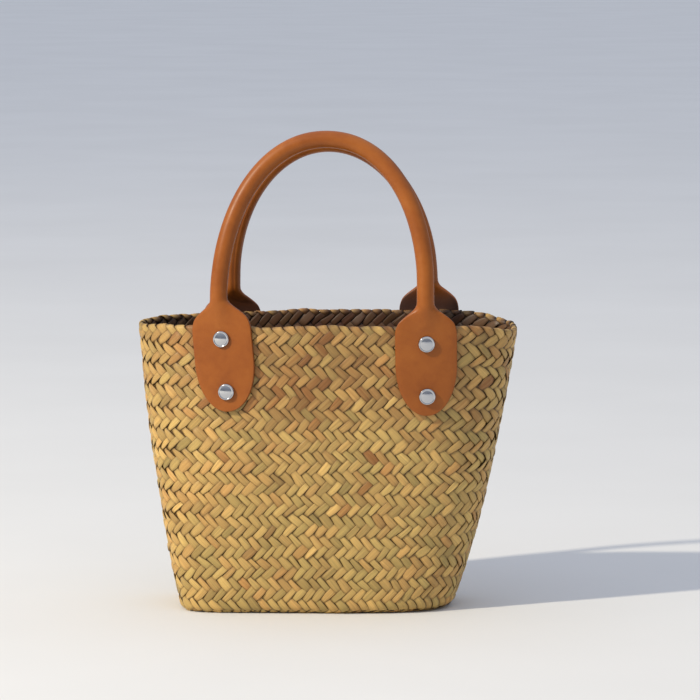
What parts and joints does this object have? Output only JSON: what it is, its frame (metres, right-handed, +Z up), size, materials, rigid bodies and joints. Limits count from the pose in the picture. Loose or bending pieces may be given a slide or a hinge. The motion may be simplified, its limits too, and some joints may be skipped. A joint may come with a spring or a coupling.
{
  "type": "straw basket handbag",
  "caption": "Small plaited straw basket bag with a flared oval mouth, a flat base and rolled leather handles riveted on by oval tabs.",
  "frame": {"origin": "on the surface that the bag stands on, under the middle of its bounding box", "axes": "+Z up, the front towards -Y, and +X to the right of someone who faces the front"},
  "size_m": [0.2489, 0.1199, 0.3146],
  "materials": {
    "straw": "dry, plaited straw",
    "leather": "smooth tan, satin",
    "metal": "polished"
  },
  "bodies": {
    "root": {"basket_body": "straw", "front_handle": "leather", "back_handle": "leather", "rivet_front_left_lower": "metal", "rivet_front_left_upper": "metal", "rivet_front_right_lower": "metal", "rivet_front_right_upper": "metal", "rivet_back_left_lower": "metal", "rivet_back_left_upper": "metal", "rivet_back_right_lower": "metal", "rivet_back_right_upper": "metal"}
  },
  "joints": []
}
